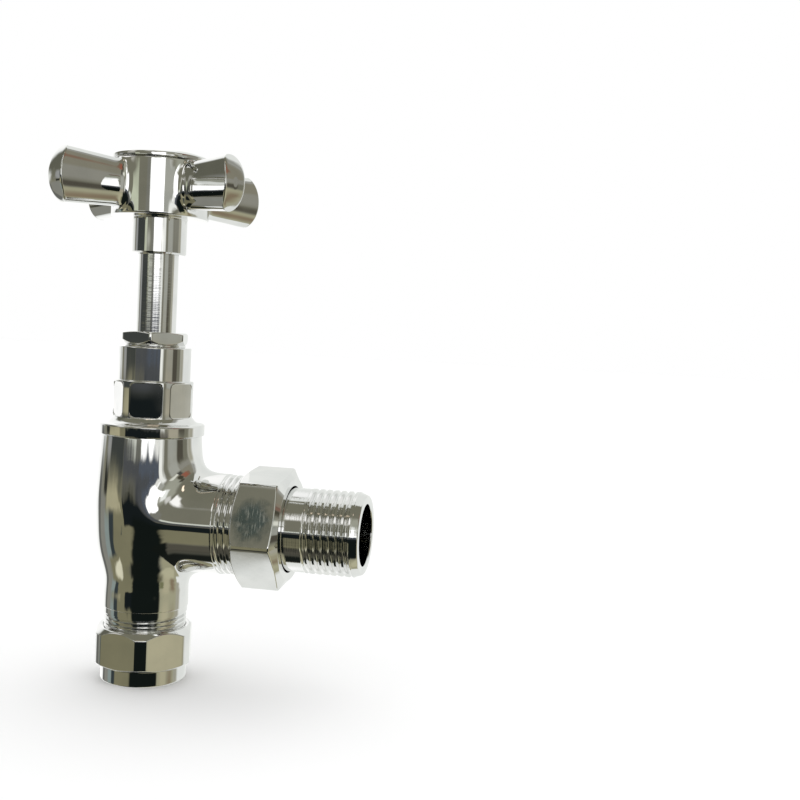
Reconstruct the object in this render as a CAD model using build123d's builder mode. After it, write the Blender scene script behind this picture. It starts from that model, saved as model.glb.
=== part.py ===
"""Angle radiator valve with a cross-head handle, a union tail and a compression inlet.

Millimetres, +Z up.  The valve axis is Z, and z = 0 is the open mouth of the compression
nut, where the copper pipe goes in.  The outlet and its threaded tail point along +X.
The valve is drawn shut.  Screw threads are drawn as plain cylinders.
"""

import os
from math import cos, radians, sin

from build123d import *

os.makedirs("parts", exist_ok=True)

# ---- driving dimensions -------------------------------------------------------------

RUN = 0.05  # radial clearance of every running fit

# pipe inlet and compression nut
PIPE_BORE = 7.55  # takes a 15 mm pipe
PIPE_STOP_Z = 18.0
INLET_THREAD_R = 10.25
INLET_MOUTH_Z = 6.6
INLET_NECK_Z = 18.6
NUT_AF = 23.2
NUT_TOP_Z = 13.7
NUT_RIM_R = 10.7
NUT_RIM_Z = 4.0
NUT_CORNER_R = 12.9

# body barrel and outlet branch
BARREL_TOP_Z = 62.2
BARREL_TOP_R = 12.5
CHAMBER_R = 9.6
CHAMBER_FLOOR_Z = 32.0
INLET_WAY_R = 6.2
OUTLET_Z = 40.8
BRANCH_R = 12.5
BRANCH_SHOULDER_X = 21.0
BRANCH_THREAD_R = 12.35
BRANCH_MOUTH_X = 30.0
OUTLET_WAY_R = 7.5

# union nut and tailpiece
UNION_AF = 27.0
UNION_CORNER_R = 15.5
UNION_START_X = 25.7
UNION_SHOULDER_X = 33.2
UNION_END_X = 37.8
TAIL_HOLE_R = 10.7
TAIL_R = 10.3
TAIL_FLANGE_R = 11.9
TAIL_THREAD_X = 42.8
TAIL_THREAD_R = 10.48
TAIL_END_X = 56.5
TAIL_BORE_R = 7.6
TAIL_KEY_AF = 12.0
TAIL_KEY_END_X = 46.0
SEAL_THICK = 1.5

# bonnet and gland
BONNET_SPIGOT_R = 10.4
BONNET_FOOT_Z = 50.0
FLANGE_R = 13.05
FLANGE_TOP_Z = 65.2
BONNET_AF = 18.0
BONNET_ROUND_R = 9.85
BONNET_HEX_Z = 66.6
BONNET_HEX_TOP_Z = 75.3
STUFFING_R = 9.0
STUFFING_TOP_Z = 84.2
STUFFING_BORE_R = 7.0
STUFFING_FLOOR_Z = 76.0
SPINDLE_THREAD_R = 7.0
SPINDLE_HEADROOM_Z = 68.0
GLAND_AF = 15.0
GLAND_TOP_Z = 87.9
GLAND_SEAT_Z = 84.8
GLAND_SPIGOT_Z = 80.5
PACKING_COUNT = 3
PACKING_THICK = 0.9

# seat, jumper and spindle
SEAT_R = 8.0
SEAT_BORE_R = 5.5
SEAT_FLOOR_Z = 29.0
SEAT_LIP_Z = 33.2
WASHER_R = 7.0
WASHER_THICK = 2.7
WASHER_GAP = 0.05
JUMPER_DISC_R = 7.6
JUMPER_DISC_THICK = 2.5
JUMPER_STEM_R = 2.8
JUMPER_STEM_TOP_Z = 52.0
STUD_R = 1.95
SHAFT_R = 4.95
SPINDLE_FOOT_Z = 44.0
SPINDLE_THREAD_Z = 48.0
SPINDLE_THREAD_TOP_Z = 60.0

# cross-head handle
SKIRT_Z = 107.3
SKIRT_R = 6.75
HUB_Z = 116.3
HUB_R = 12.0
HUB_TOP_Z = 130.0
ARM_COUNT = 4
ARM_AZIMUTH = -32.3
ARM_Z = 123.6
ARM_TIP_R = 29.5
ARM_TIP_SAG = 2.7
ARM_HALF_WIDTH = 2.9
ARM_ROOT_HALF_HEIGHT = 5.7
ARM_TIP_HALF_HEIGHT = 6.75
ARM_FILLET = 4.5
SQUARE_AF = 6.9
SQUARE_Z = 118.8
SQUARE_TOP_Z = 122.6
SCREW_WEB_Z = 122.8
SCREW_SEAT_Z = 124.0
SCREW_R = 1.65
SCREW_LENGTH = 13.0
SCREW_HEAD_R = 3.4
SCREW_HEAD_THICK = 2.4
SCREW_WASHER_THICK = 0.8
SCREW_WELL_R = 3.8
CAP_SEAT_Z = 128.0
CAP_PLUG_R = 10.1
CAP_GROOVE_Z = 129.0
CAP_R = 12.2
CAP_RIM_Z = 131.3
CAP_TOP_Z = 133.5

RADIAL = Plane.XZ  # half-profiles turned about Z: local x is the radius, local y is z
TAIL_AXIS = Axis((0, 0, OUTLET_Z), (1, 0, 0))
ALONG_X = Plane((0, 0, OUTLET_Z), x_dir=(0, 1, 0), z_dir=(1, 0, 0))


def finish(part, name):
    """Label one finished piece and write it."""
    part.label = name
    export_step(part, f"parts/{name}.step")


# ---- compression inlet ---------------------------------------------------------------

# Nut for the pipe: a round rim below, six flats above, turned-off corners.
with BuildPart() as compression_nut:
    with BuildSketch(Plane.XY.offset(NUT_RIM_Z)):
        RegularPolygon(NUT_AF / 2, 6, major_radius=False, rotation=-71.3)
    extrude(amount=NUT_TOP_Z - NUT_RIM_Z)
    with BuildSketch(RADIAL):
        with BuildLine():
            Polyline(
                (0, NUT_RIM_Z),
                (NUT_RIM_R + 0.6, NUT_RIM_Z),
                (NUT_CORNER_R, NUT_RIM_Z + 0.8),
                (NUT_CORNER_R, NUT_TOP_Z - 1.3),
                (NUT_AF / 2 - 0.4, NUT_TOP_Z),
                (0, NUT_TOP_Z),
                close=True,
            )
        make_face()
    revolve(axis=Axis.Z, mode=Mode.INTERSECT)
    with BuildSketch(Plane.XY):
        Circle(NUT_RIM_R)
    extrude(amount=NUT_RIM_Z)
    chamfer(compression_nut.edges().sort_by(Axis.Z)[0], 0.4)
    with BuildSketch(RADIAL):
        with BuildLine():
            Polyline(
                (0, 0),
                (PIPE_BORE, 0),
                (PIPE_BORE, 2.8),
                (INLET_THREAD_R + RUN, 5.55),
                (INLET_THREAD_R + RUN, NUT_TOP_Z),
                (0, NUT_TOP_Z),
                close=True,
            )
        make_face()
    revolve(axis=Axis.Z, mode=Mode.SUBTRACT)
finish(compression_nut.part, "compression_nut")

# Olive: a soft brass ring with two cones, squeezed on to the pipe.
with BuildPart() as olive:
    with BuildSketch(RADIAL):
        with BuildLine():
            Polyline(
                (PIPE_BORE, 3.2),
                (7.9, 3.2),
                (9.0, 4.3),
                (9.0, 6.5),
                (7.9, 8.0),
                (PIPE_BORE, 8.0),
                close=True,
            )
        make_face()
    revolve(axis=Axis.Z)
finish(olive.part, "olive")

# ---- body ----------------------------------------------------------------------------

# One hollow casting: inlet spigot, swelling barrel and side branch.
with BuildPart() as body:
    with BuildSketch(RADIAL):
        with BuildLine():
            barrel = Spline(
                (10.6, INLET_NECK_Z + 0.3),
                (10.6, 22.0),
                (10.6, 25.0),
                (12.2, 31.7),
                (13.1, 38.0),
                (13.4, 45.0),
                (13.0, 54.0),
                (BARREL_TOP_R, BARREL_TOP_Z - 0.4),
            )
            Polyline(
                barrel @ 1,
                (BARREL_TOP_R - 0.2, BARREL_TOP_Z),
                (0, BARREL_TOP_Z),
                (0, INLET_MOUTH_Z),
                (INLET_THREAD_R - 0.5, INLET_MOUTH_Z),
                (INLET_THREAD_R, INLET_MOUTH_Z + 0.5),
                (INLET_THREAD_R, INLET_NECK_Z),
                (10.4, INLET_NECK_Z),
                barrel @ 0,
            )
        make_face()
    revolve(axis=Axis.Z)
    with BuildSketch(ALONG_X):
        Circle(BRANCH_R)
    extrude(amount=BRANCH_SHOULDER_X)
    with BuildSketch(ALONG_X.offset(BRANCH_SHOULDER_X)):
        Circle(BRANCH_THREAD_R)
    extrude(amount=BRANCH_MOUTH_X - BRANCH_SHOULDER_X)
    chamfer(body.edges().sort_by(Axis.X)[-1], 0.5)
    # pipe socket with the olive's cone, inlet way, seat pocket, chamber, bonnet thread
    with BuildSketch(RADIAL):
        with BuildLine():
            Polyline(
                (0, INLET_MOUTH_Z),
                (9.2, INLET_MOUTH_Z),
                (PIPE_BORE, 8.6),
                (PIPE_BORE, PIPE_STOP_Z),
                (INLET_WAY_R, PIPE_STOP_Z),
                (INLET_WAY_R, SEAT_FLOOR_Z),
                (SEAT_R, SEAT_FLOOR_Z),
                (SEAT_R, CHAMBER_FLOOR_Z),
                (CHAMBER_R, CHAMBER_FLOOR_Z),
                (CHAMBER_R, BONNET_FOOT_Z - 2.0),
                (BONNET_SPIGOT_R + RUN, BONNET_FOOT_Z - 2.0),
                (BONNET_SPIGOT_R + RUN, BARREL_TOP_Z - 1.0),
                (11.6, BARREL_TOP_Z - 1.0),
                (11.6, BARREL_TOP_Z),
                (0, BARREL_TOP_Z),
                close=True,
            )
        make_face()
    revolve(axis=Axis.Z, mode=Mode.SUBTRACT)
    with BuildSketch(ALONG_X):
        Circle(OUTLET_WAY_R)
    extrude(amount=BRANCH_MOUTH_X, mode=Mode.SUBTRACT)
finish(body.part, "body")

# Seat: a brass ring with a raised lip, pressed into the chamber floor.
with BuildPart() as seat_ring:
    with BuildSketch(RADIAL):
        with BuildLine():
            Polyline(
                (SEAT_BORE_R, SEAT_FLOOR_Z),
                (SEAT_R, SEAT_FLOOR_Z),
                (SEAT_R, CHAMBER_FLOOR_Z),
                (SEAT_BORE_R + 1.1, SEAT_LIP_Z),
                (SEAT_BORE_R, SEAT_LIP_Z),
                close=True,
            )
        make_face()
    revolve(axis=Axis.Z)
finish(seat_ring.part, "seat_ring")

# ---- union and tail --------------------------------------------------------------------

# Tailpiece: flange held by the nut, plain neck, taper-ended thread, key socket inside.
FLANGE_X = BRANCH_MOUTH_X + RUN + SEAL_THICK
FLANGE_END_X = UNION_SHOULDER_X - 2 * RUN
with BuildPart() as tailpiece:
    with BuildSketch(RADIAL):
        with BuildLine():
            Polyline(
                (FLANGE_X, OUTLET_Z),
                (FLANGE_X, OUTLET_Z + TAIL_FLANGE_R),
                (FLANGE_END_X, OUTLET_Z + TAIL_FLANGE_R),
                (FLANGE_END_X, OUTLET_Z + TAIL_R),
                (TAIL_THREAD_X, OUTLET_Z + TAIL_R),
                (TAIL_THREAD_X, OUTLET_Z + TAIL_THREAD_R),
                (TAIL_END_X - 1.6, OUTLET_Z + TAIL_THREAD_R),
                (TAIL_END_X, OUTLET_Z + 9.7),
                (TAIL_END_X, OUTLET_Z),
                close=True,
            )
        make_face()
    revolve(axis=TAIL_AXIS)
    with BuildSketch(ALONG_X.offset(FLANGE_X)):
        RegularPolygon(TAIL_KEY_AF / 2, 6, major_radius=False)
    extrude(amount=TAIL_END_X - FLANGE_X, mode=Mode.SUBTRACT)
    with BuildSketch(ALONG_X.offset(TAIL_KEY_END_X)):
        Circle(TAIL_BORE_R)
    extrude(amount=TAIL_END_X - TAIL_KEY_END_X, mode=Mode.SUBTRACT)
finish(tailpiece.part, "tailpiece")

# Flat seal between the branch mouth and the tail's flange.
with BuildPart() as union_seal:
    with BuildSketch(ALONG_X.offset(BRANCH_MOUTH_X + RUN)):
        Circle(TAIL_FLANGE_R - 0.2)
        Circle(OUTLET_WAY_R + 0.5, mode=Mode.SUBTRACT)
    extrude(amount=SEAL_THICK)
finish(union_seal.part, "union_seal")

# Union nut: six flats tilted 20 degrees, corners turned off at both ends.
with BuildPart() as union_nut:
    with BuildSketch(ALONG_X.offset(UNION_START_X)):
        RegularPolygon(UNION_AF / 2, 6, major_radius=False, rotation=10)
    extrude(amount=UNION_END_X - UNION_START_X)
    with BuildSketch(RADIAL):
        with BuildLine():
            Polyline(
                (UNION_START_X, OUTLET_Z),
                (UNION_START_X, OUTLET_Z + UNION_AF / 2 - 0.3),
                (UNION_START_X + 1.3, OUTLET_Z + UNION_CORNER_R),
                (UNION_END_X - 1.6, OUTLET_Z + UNION_CORNER_R),
                (UNION_END_X, OUTLET_Z + UNION_AF / 2 - 0.6),
                (UNION_END_X, OUTLET_Z),
                close=True,
            )
        make_face()
    revolve(axis=TAIL_AXIS, mode=Mode.INTERSECT)
    with BuildSketch(ALONG_X.offset(UNION_START_X)):
        Circle(BRANCH_THREAD_R + RUN)
    extrude(amount=UNION_SHOULDER_X - UNION_START_X, mode=Mode.SUBTRACT)
    with BuildSketch(ALONG_X.offset(UNION_SHOULDER_X)):
        Circle(TAIL_HOLE_R)
    extrude(amount=UNION_END_X - UNION_SHOULDER_X, mode=Mode.SUBTRACT)
finish(union_nut.part, "union_nut")

# ---- bonnet and gland ------------------------------------------------------------------

# Bonnet: threaded spigot, flange on the barrel's rim, hexagon, stuffing box.
with BuildPart() as bonnet:
    with BuildSketch(RADIAL):
        with BuildLine():
            Polyline(
                (0, BONNET_FOOT_Z),
                (BONNET_SPIGOT_R, BONNET_FOOT_Z),
                (BONNET_SPIGOT_R, BARREL_TOP_Z),
                (FLANGE_R, BARREL_TOP_Z),
                (FLANGE_R, FLANGE_TOP_Z - 0.5),
                (FLANGE_R - 0.5, FLANGE_TOP_Z),
                (BONNET_ROUND_R + 1.0, FLANGE_TOP_Z + 0.5),
                (BONNET_ROUND_R, BONNET_HEX_Z),
                (0, BONNET_HEX_Z),
                close=True,
            )
        make_face()
    revolve(axis=Axis.Z)
    with BuildSketch(Plane.XY.offset(BONNET_HEX_Z)):
        Circle(BONNET_ROUND_R)
        RegularPolygon(BONNET_AF / 2, 6, major_radius=False, rotation=-48.7, mode=Mode.INTERSECT)
    extrude(amount=BONNET_HEX_TOP_Z - BONNET_HEX_Z)
    with BuildSketch(Plane.XY.offset(BONNET_HEX_TOP_Z)):
        Circle(STUFFING_R)
    extrude(amount=STUFFING_TOP_Z - BONNET_HEX_TOP_Z)
    chamfer(bonnet.edges().sort_by(Axis.Z)[-1], 0.3)
    with BuildSketch(RADIAL):
        with BuildLine():
            Polyline(
                (0, BONNET_FOOT_Z),
                (SPINDLE_THREAD_R + RUN, BONNET_FOOT_Z),
                (SPINDLE_THREAD_R + RUN, SPINDLE_HEADROOM_Z),
                (SHAFT_R + RUN, SPINDLE_HEADROOM_Z),
                (SHAFT_R + RUN, STUFFING_FLOOR_Z),
                (STUFFING_BORE_R, STUFFING_FLOOR_Z),
                (STUFFING_BORE_R, STUFFING_TOP_Z),
                (0, STUFFING_TOP_Z),
                close=True,
            )
        make_face()
    revolve(axis=Axis.Z, mode=Mode.SUBTRACT)
finish(bonnet.part, "bonnet")

# Sealing ring in the step under the bonnet's flange.
with BuildPart() as bonnet_washer:
    with BuildSketch(Plane.XY.offset(BARREL_TOP_Z - 1.0)):
        Circle(11.55)
        Circle(BONNET_SPIGOT_R + RUN, mode=Mode.SUBTRACT)
    extrude(amount=1.0)
finish(bonnet_washer.part, "bonnet_washer")

# Gland nut: thin hexagon outside, threaded spigot inside the stuffing box.
with BuildPart() as gland_nut:
    with BuildSketch(Plane.XY.offset(GLAND_SPIGOT_Z)):
        Circle(STUFFING_BORE_R - RUN)
    extrude(amount=STUFFING_TOP_Z - GLAND_SPIGOT_Z)
    with BuildSketch(Plane.XY.offset(STUFFING_TOP_Z)):
        Circle(GLAND_AF / 2)
    extrude(amount=GLAND_SEAT_Z - STUFFING_TOP_Z)
    with BuildSketch(Plane.XY.offset(GLAND_SEAT_Z)):
        RegularPolygon(GLAND_AF / 2, 6, major_radius=False, rotation=-75.7)
    extrude(amount=GLAND_TOP_Z - GLAND_SEAT_Z)
    with BuildSketch(Plane.XY.offset(GLAND_SPIGOT_Z)):
        Circle(SHAFT_R + RUN)
    extrude(amount=GLAND_TOP_Z - GLAND_SPIGOT_Z, mode=Mode.SUBTRACT)
finish(gland_nut.part, "gland_nut")

# Loose brass ring at the bottom of the stuffing box.
with BuildPart() as packing_washer:
    with BuildSketch(Plane.XY.offset(STUFFING_FLOOR_Z)):
        Circle(STUFFING_BORE_R - RUN)
        Circle(SHAFT_R + RUN, mode=Mode.SUBTRACT)
    extrude(amount=1.0)
finish(packing_washer.part, "packing_washer")

# Packing: a stack of soft rings round the spindle.
PACKING_Z = STUFFING_FLOOR_Z + 1.0
with BuildPart() as packing_rings:
    for ring in range(PACKING_COUNT):
        with BuildSketch(Plane.XY.offset(PACKING_Z + ring * PACKING_THICK)):
            Circle(STUFFING_BORE_R - RUN)
            Circle(SHAFT_R + 0.03, mode=Mode.SUBTRACT)
        extrude(amount=PACKING_THICK - 0.02)
finish(packing_rings.part, "packing_rings")

# Brass ring that carries the gland nut's push to the packing.
FOLLOWER_Z = PACKING_Z + PACKING_COUNT * PACKING_THICK
with BuildPart() as gland_follower:
    with BuildSketch(Plane.XY.offset(FOLLOWER_Z)):
        Circle(STUFFING_BORE_R - RUN)
        Circle(SHAFT_R + RUN, mode=Mode.SUBTRACT)
    extrude(amount=GLAND_SPIGOT_Z - FOLLOWER_Z)
finish(gland_follower.part, "gland_follower")

# ---- jumper ----------------------------------------------------------------------------

WASHER_Z = SEAT_LIP_Z + WASHER_GAP
DISC_Z = WASHER_Z + WASHER_THICK
NUT_DROP = 2.2

# Jumper: stud below, disc over the washer, stem up into the spindle.
with BuildPart() as jumper:
    with BuildSketch(Plane.XY.offset(WASHER_Z - NUT_DROP - 0.3)):
        Circle(STUD_R)
    extrude(amount=DISC_Z - WASHER_Z + NUT_DROP + 0.3)
    with BuildSketch(Plane.XY.offset(DISC_Z)):
        Circle(JUMPER_DISC_R)
    extrude(amount=JUMPER_DISC_THICK)
    with BuildSketch(Plane.XY.offset(DISC_Z + JUMPER_DISC_THICK)):
        Circle(JUMPER_STEM_R)
    extrude(amount=JUMPER_STEM_TOP_Z - DISC_Z - JUMPER_DISC_THICK)
    chamfer(jumper.edges().sort_by(Axis.Z)[-1], 0.4)
finish(jumper.part, "jumper")

# Soft washer that shuts on the seat's lip.
with BuildPart() as seat_washer:
    with BuildSketch(Plane.XY.offset(WASHER_Z)):
        Circle(WASHER_R)
        Circle(STUD_R + RUN, mode=Mode.SUBTRACT)
    extrude(amount=WASHER_THICK)
    chamfer(seat_washer.edges().group_by(Axis.Z)[0].sort_by(SortBy.RADIUS)[-1], 0.3)
finish(seat_washer.part, "seat_washer")

# Small nut that holds the washer; it drops inside the seat's bore.
with BuildPart() as washer_nut:
    with BuildSketch(Plane.XY.offset(WASHER_Z - NUT_DROP)):
        RegularPolygon(3.0, 6, major_radius=False)
        Circle(STUD_R + RUN, mode=Mode.SUBTRACT)
    extrude(amount=NUT_DROP)
finish(washer_nut.part, "washer_nut")

# ---- spindle ---------------------------------------------------------------------------

# Spindle: threaded barrel in the bonnet, polished shaft, square for the handle.
with BuildPart() as spindle:
    with BuildSketch(RADIAL):
        with BuildLine():
            Polyline(
                (0, SPINDLE_FOOT_Z),
                (5.2, SPINDLE_FOOT_Z),
                (5.2, SPINDLE_THREAD_Z),
                (SPINDLE_THREAD_R, SPINDLE_THREAD_Z + 0.8),
                (SPINDLE_THREAD_R, SPINDLE_THREAD_TOP_Z - 0.8),
                (SHAFT_R, SPINDLE_THREAD_TOP_Z),
                (SHAFT_R, SQUARE_Z),
                (0, SQUARE_Z),
                close=True,
            )
        make_face()
    revolve(axis=Axis.Z)
    with BuildSketch(Plane.XY.offset(SQUARE_Z)):
        Rectangle(SQUARE_AF, SQUARE_AF, rotation=ARM_AZIMUTH)
    extrude(amount=SQUARE_TOP_Z - SQUARE_Z)
    with BuildSketch(Plane.XY.offset(SPINDLE_FOOT_Z)):
        Circle(JUMPER_STEM_R + RUN)
    extrude(amount=JUMPER_STEM_TOP_Z + 1.0 - SPINDLE_FOOT_Z, mode=Mode.SUBTRACT)
    with BuildSketch(Plane.XY.offset(SQUARE_TOP_Z - 12.0)):
        Circle(1.7)
    extrude(amount=12.0, mode=Mode.SUBTRACT)
finish(spindle.part, "spindle")

# ---- cross-head handle -----------------------------------------------------------------

# Arms: tall ovals that grow towards the tip, widen into the hub and end in a dome.
FLARE_END = ((HUB_R + ARM_FILLET) ** 2 - (ARM_HALF_WIDTH + ARM_FILLET) ** 2) ** 0.5
HEIGHT_GAIN = (ARM_TIP_HALF_HEIGHT - ARM_ROOT_HALF_HEIGHT) / (ARM_TIP_R - HUB_R)


def flare_stations():
    """List distance from the axis and half width where the arm widens into the hub."""
    stations = [(0.75 * HUB_R, ARM_HALF_WIDTH + 0.55 * ARM_FILLET)]
    for turn in (60, 42, 24, 12, 0):
        reach = FLARE_END - ARM_FILLET * sin(radians(turn))
        stations.append((reach, ARM_HALF_WIDTH + ARM_FILLET * (1 - cos(radians(turn)))))
    return stations


ARM_STATIONS = [(FLARE_END, ARM_HALF_WIDTH), (ARM_TIP_R, ARM_HALF_WIDTH)]

with BuildPart() as arms:
    for arm in range(ARM_COUNT):
        heading = Vector(1, 0, 0).rotate(Axis.Z, ARM_AZIMUTH + arm * 360 / ARM_COUNT)
        across = Plane((0, 0, ARM_Z), x_dir=(0, 0, 1), z_dir=heading)
        for stations in (flare_stations(), ARM_STATIONS):
            for reach, half_width in stations:
                half_height = ARM_ROOT_HALF_HEIGHT + HEIGHT_GAIN * (reach - HUB_R)
                with BuildSketch(across.offset(reach)):
                    Ellipse(half_height, half_width)
            loft()
    with BuildSketch(RADIAL):
        with BuildLine():
            bottom_edge = (ARM_TIP_R - ARM_TIP_SAG, ARM_Z - ARM_TIP_HALF_HEIGHT)
            top_edge = (ARM_TIP_R - ARM_TIP_SAG, ARM_Z + ARM_TIP_HALF_HEIGHT)
            Polyline(bottom_edge, (0, bottom_edge[1]), (0, top_edge[1]), top_edge)
            ThreePointArc(bottom_edge, (ARM_TIP_R, ARM_Z), top_edge)
        make_face()
    revolve(axis=Axis.Z, mode=Mode.INTERSECT)

# Handle casting: skirt over the spindle, hub, arms, and the sockets inside.
with BuildPart() as handle_cross:
    with BuildSketch(RADIAL):
        with BuildLine():
            Polyline(
                (0, SKIRT_Z),
                (SKIRT_R - 0.5, SKIRT_Z),
                (SKIRT_R, SKIRT_Z + 0.5),
                (SKIRT_R, HUB_Z),
                (HUB_R - 0.6, HUB_Z),
                (HUB_R, HUB_Z + 0.6),
                (HUB_R, HUB_TOP_Z),
                (0, HUB_TOP_Z),
                close=True,
            )
        make_face()
    revolve(axis=Axis.Z)
    add(arms.part)
    with BuildSketch(Plane.XY.offset(SKIRT_Z)):
        Circle(SHAFT_R + RUN)
    extrude(amount=SQUARE_Z - SKIRT_Z, mode=Mode.SUBTRACT)
    with BuildSketch(Plane.XY.offset(SQUARE_Z)):
        Rectangle(SQUARE_AF + 2 * RUN, SQUARE_AF + 2 * RUN, rotation=ARM_AZIMUTH)
    extrude(amount=SCREW_WEB_Z - SQUARE_Z, mode=Mode.SUBTRACT)
    with BuildSketch(Plane.XY.offset(SCREW_WEB_Z)):
        Circle(SCREW_R + 0.4)
    extrude(amount=SCREW_SEAT_Z - SCREW_WEB_Z, mode=Mode.SUBTRACT)
    with BuildSketch(Plane.XY.offset(SCREW_SEAT_Z)):
        Circle(SCREW_WELL_R)
    extrude(amount=CAP_SEAT_Z - SCREW_SEAT_Z, mode=Mode.SUBTRACT)
    with BuildSketch(Plane.XY.offset(CAP_SEAT_Z)):
        Circle(CAP_PLUG_R + 2 * RUN)
    extrude(amount=HUB_TOP_Z - CAP_SEAT_Z, mode=Mode.SUBTRACT)
finish(handle_cross.part, "handle_cross")

# Spring washer under the screw's head.
with BuildPart() as screw_washer:
    with BuildSketch(Plane.XY.offset(SCREW_SEAT_Z)):
        Circle(SCREW_HEAD_R)
        Circle(SCREW_R + 0.15, mode=Mode.SUBTRACT)
    extrude(amount=SCREW_WASHER_THICK)
finish(screw_washer.part, "screw_washer")

# Pan-head screw, cross slot, down into the top of the spindle.
HEAD_Z = SCREW_SEAT_Z + SCREW_WASHER_THICK
with BuildPart() as handle_screw:
    with BuildSketch(Plane.XY.offset(HEAD_Z - SCREW_LENGTH)):
        Circle(SCREW_R)
    extrude(amount=SCREW_LENGTH)
    with BuildSketch(Plane.XY.offset(HEAD_Z)):
        Circle(SCREW_HEAD_R)
    extrude(amount=SCREW_HEAD_THICK)
    fillet(handle_screw.edges().sort_by(Axis.Z)[-1], 0.8)
    with BuildSketch(Plane.XY.offset(HEAD_Z + SCREW_HEAD_THICK)):
        Rectangle(3.6, 0.8)
        Rectangle(0.8, 3.6)
    extrude(amount=-1.2, mode=Mode.SUBTRACT)
finish(handle_screw.part, "handle_screw")

# Cap: a shallow dome with a round edge, and a grooved plug that snaps into the hub.
with BuildPart() as handle_cap:
    with BuildSketch(RADIAL):
        with BuildLine():
            Polyline(
                (0, CAP_TOP_Z),
                (0, CAP_SEAT_Z + RUN),
                (CAP_PLUG_R, CAP_SEAT_Z + RUN),
                (CAP_PLUG_R, CAP_GROOVE_Z - 0.5),
                (CAP_PLUG_R - 1.0, CAP_GROOVE_Z - 0.5),
                (CAP_PLUG_R - 1.0, CAP_GROOVE_Z + 0.5),
                (CAP_PLUG_R, CAP_GROOVE_Z + 0.5),
                (CAP_PLUG_R, HUB_TOP_Z),
                (CAP_R - 0.3, HUB_TOP_Z),
                (CAP_R, HUB_TOP_Z + 0.3),
                (CAP_R, CAP_RIM_Z - 0.3),
                (CAP_R - 0.3, CAP_RIM_Z),
            )
            TangentArc((0, CAP_TOP_Z), (CAP_R - 0.3, CAP_RIM_Z), tangent=(1, 0))
        make_face()
    revolve(axis=Axis.Z)
finish(handle_cap.part, "handle_cap")

# Soft ring in the plug's groove that grips the hub's recess.
with BuildPart() as cap_ring:
    with BuildSketch(RADIAL):
        with Locations((CAP_PLUG_R - 0.45, CAP_GROOVE_Z)):
            Circle(0.48)
    revolve(axis=Axis.Z)
finish(cap_ring.part, "cap_ring")
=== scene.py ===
"""Chrome angle radiator valve with a cross-head handle: visible pieces, finishes, light, camera."""

from math import atan2, cos, pi, radians, sin

import bpy
import bmesh
import numpy as np
from mathutils import Matrix, Vector


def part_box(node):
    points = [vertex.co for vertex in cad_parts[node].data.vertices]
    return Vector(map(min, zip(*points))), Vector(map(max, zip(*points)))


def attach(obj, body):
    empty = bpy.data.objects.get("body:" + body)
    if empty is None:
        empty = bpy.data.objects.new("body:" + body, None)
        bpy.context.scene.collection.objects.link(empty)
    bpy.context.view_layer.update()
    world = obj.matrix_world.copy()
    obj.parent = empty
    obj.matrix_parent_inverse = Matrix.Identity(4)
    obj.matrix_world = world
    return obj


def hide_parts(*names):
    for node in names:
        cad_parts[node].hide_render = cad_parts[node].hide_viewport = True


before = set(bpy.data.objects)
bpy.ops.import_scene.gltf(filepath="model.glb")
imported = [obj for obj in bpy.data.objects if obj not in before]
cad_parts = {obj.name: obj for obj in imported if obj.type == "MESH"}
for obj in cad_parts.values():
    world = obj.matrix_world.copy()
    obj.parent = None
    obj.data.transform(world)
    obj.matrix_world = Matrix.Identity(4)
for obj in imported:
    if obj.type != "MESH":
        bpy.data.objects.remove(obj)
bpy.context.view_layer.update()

MM = 0.001

# ---- measures taken from the frame, in millimetres -------------------------------------------------


def span(node):
    """Lowest and highest corner of a CAD node in millimetres."""
    low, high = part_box(node)
    return low / MM, high / MM


NUT_TOP = span("compression_nut")[1].z
NECK_LOW = span("body")[0].z
BARREL_TOP = span("body")[1].z
BRANCH_END = span("body")[1].x
OUTLET_Z = (span("tailpiece")[0].z + span("tailpiece")[1].z) / 2
UNION_START, UNION_END = span("union_nut")[0].x, span("union_nut")[1].x
TAIL_START, TAIL_END = span("tailpiece")[0].x, span("tailpiece")[1].x
FLANGE_R = span("bonnet")[1].x
BONNET_FOOT, BONNET_TOP = span("bonnet")[0].z, span("bonnet")[1].z
GLAND_FOOT, GLAND_TOP = span("gland_nut")[0].z, span("gland_nut")[1].z
SPINDLE_FOOT, SPINDLE_TOP = span("spindle")[0].z, span("spindle")[1].z
SKIRT_FOOT = span("handle_cross")[0].z
CAP_FOOT, CAP_TOP = span("handle_cap")[0].z, span("handle_cap")[1].z

# ---- outlines --------------------------------------------------------------------------------------

ROUND = np.linspace(0, 2 * pi, 240, endpoint=False)


def outline(corners, count, steps=5):
    """Rows of radius and height down a section; a corner's third value rounds it."""
    spots = [np.array([np.broadcast_to(v, count) for v in corner[:2]], float) for corner in corners]
    rows = []
    for i, spot in enumerate(spots):
        if len(corners[i]) < 3:
            rows.append(spot)
            continue
        back = spots[i - 1] - spot
        ahead = spots[(i + 1) % len(spots)] - spot
        back_length = np.linalg.norm(back, axis=0) + 1e-9
        ahead_length = np.linalg.norm(ahead, axis=0) + 1e-9
        cosine = (back * ahead).sum(0) / (back_length * ahead_length)
        half = np.maximum(np.arccos(np.clip(cosine, -1, 1)) / 2, 1e-3)
        reach = np.minimum(corners[i][2] / np.tan(half), 0.45 * np.minimum(back_length, ahead_length))
        start = spot + back / back_length * reach
        end = spot + ahead / ahead_length * reach
        for t in np.linspace(0, 1, steps + 1):
            pull = 2 * t * (1 - t) * np.sin(half)
            weight = (1 - t) ** 2 + pull + t * t
            rows.append(((1 - t) ** 2 * start + pull * spot + t * t * end) / weight)
    return rows


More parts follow.
